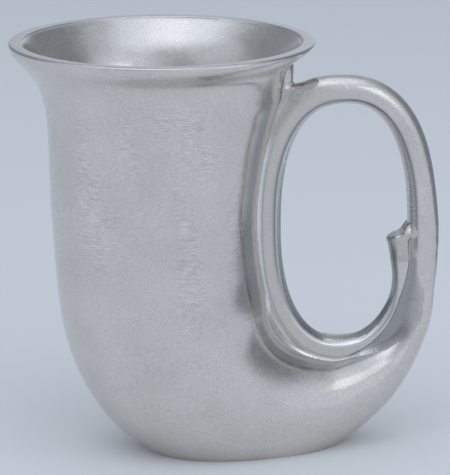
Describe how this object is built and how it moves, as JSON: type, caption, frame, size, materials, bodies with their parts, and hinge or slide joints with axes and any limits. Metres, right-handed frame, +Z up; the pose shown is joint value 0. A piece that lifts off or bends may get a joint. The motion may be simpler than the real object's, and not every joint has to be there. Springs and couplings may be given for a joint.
{
  "type": "horn mug",
  "caption": "Pewter mug shaped as a coiled horn: a bell-shaped cup bends under itself and tapers round into a finger-loop handle that ends in a small mouthpiece.",
  "frame": {"origin": "the point of the level resting face that lies under the axis of the lip", "axes": "+Z up out of the mouth; +X from the cup towards the finger loop, along the longest extent; +Y to the back, across the mug, along the shortest extent; the mug is symmetric about the XZ plane"},
  "size_m": [0.1364, 0.0956, 0.133],
  "materials": {
    "satin_pewter": "pewter turned and scraped to a satin face, with fine level tool lines and a little mottling",
    "cast_pewter": "pewter as cast and hand dressed, slightly pitted, with a duller and warmer grey",
    "dark_pewter": "plain pewter sheet and disc, unpolished and darker"
  },
  "bodies": {
    "root": {"bell_cup": "satin_pewter", "bend_front": "satin_pewter", "bend_back": "satin_pewter", "foot_plate": "dark_pewter", "tail_bulkhead": "dark_pewter", "loop_arch": "cast_pewter", "loop_return": "cast_pewter", "mouthpiece": "satin_pewter"}
  },
  "joints": []
}
